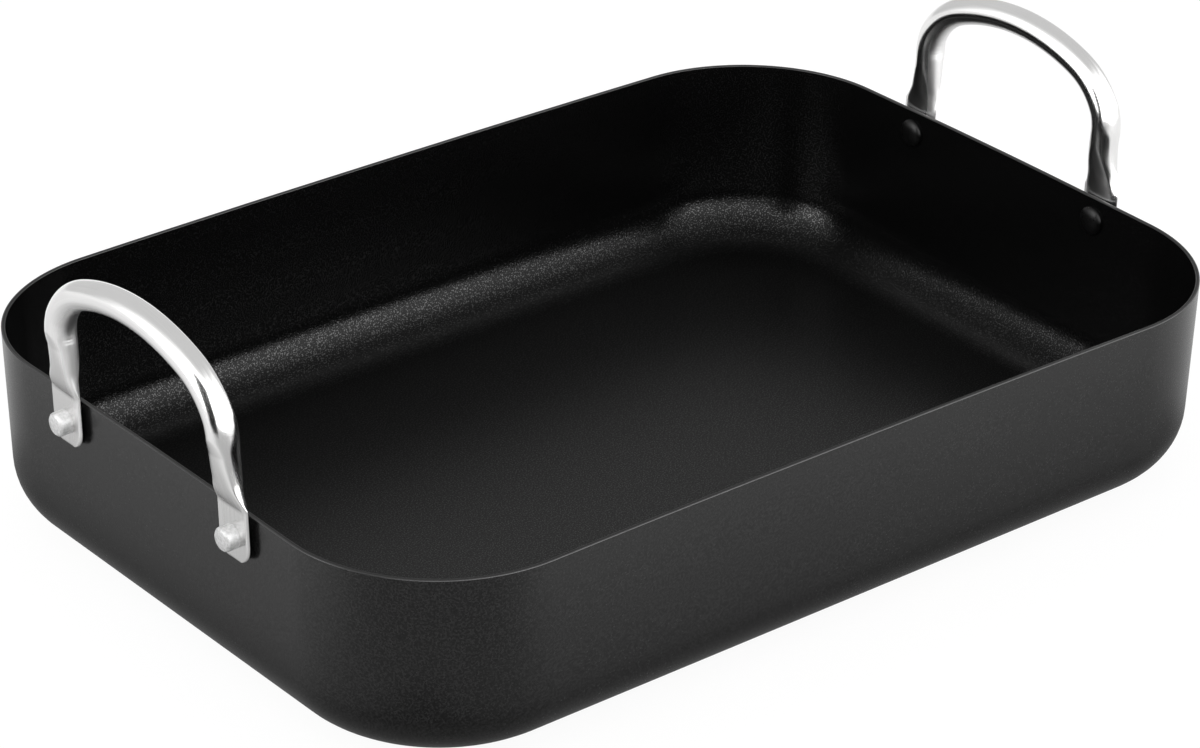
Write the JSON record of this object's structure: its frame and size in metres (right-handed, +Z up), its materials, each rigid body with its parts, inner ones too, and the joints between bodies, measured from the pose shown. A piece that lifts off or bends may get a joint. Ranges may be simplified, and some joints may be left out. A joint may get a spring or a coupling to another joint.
{
  "type": "roasting pan",
  "caption": "Deep rectangular roasting pan with round corners, nearly upright walls and an arched tube handle riveted to each short wall, for roasting in an oven.",
  "frame": {"origin": "middle of the underside of the base, on the surface that the pan stands on", "axes": "+X along the long side, towards handle_right; +Y along the short side, towards the back; +Z up"},
  "size_m": [0.421, 0.285, 0.136],
  "materials": {
    "coated_aluminium": "dark grey satin hard anodised outside, black speckled non-stick coating inside",
    "stainless_tube": "bright satin-polished stainless steel",
    "rivet_aluminium": "matt bare aluminium outside, black coated dome inside"
  },
  "bodies": {
    "root": {"pan_body": "coated_aluminium", "handle_left": "stainless_tube", "handle_right": "stainless_tube", "rivet_left_front": "rivet_aluminium", "rivet_left_back": "rivet_aluminium", "rivet_right_front": "rivet_aluminium", "rivet_right_back": "rivet_aluminium"}
  },
  "joints": []
}
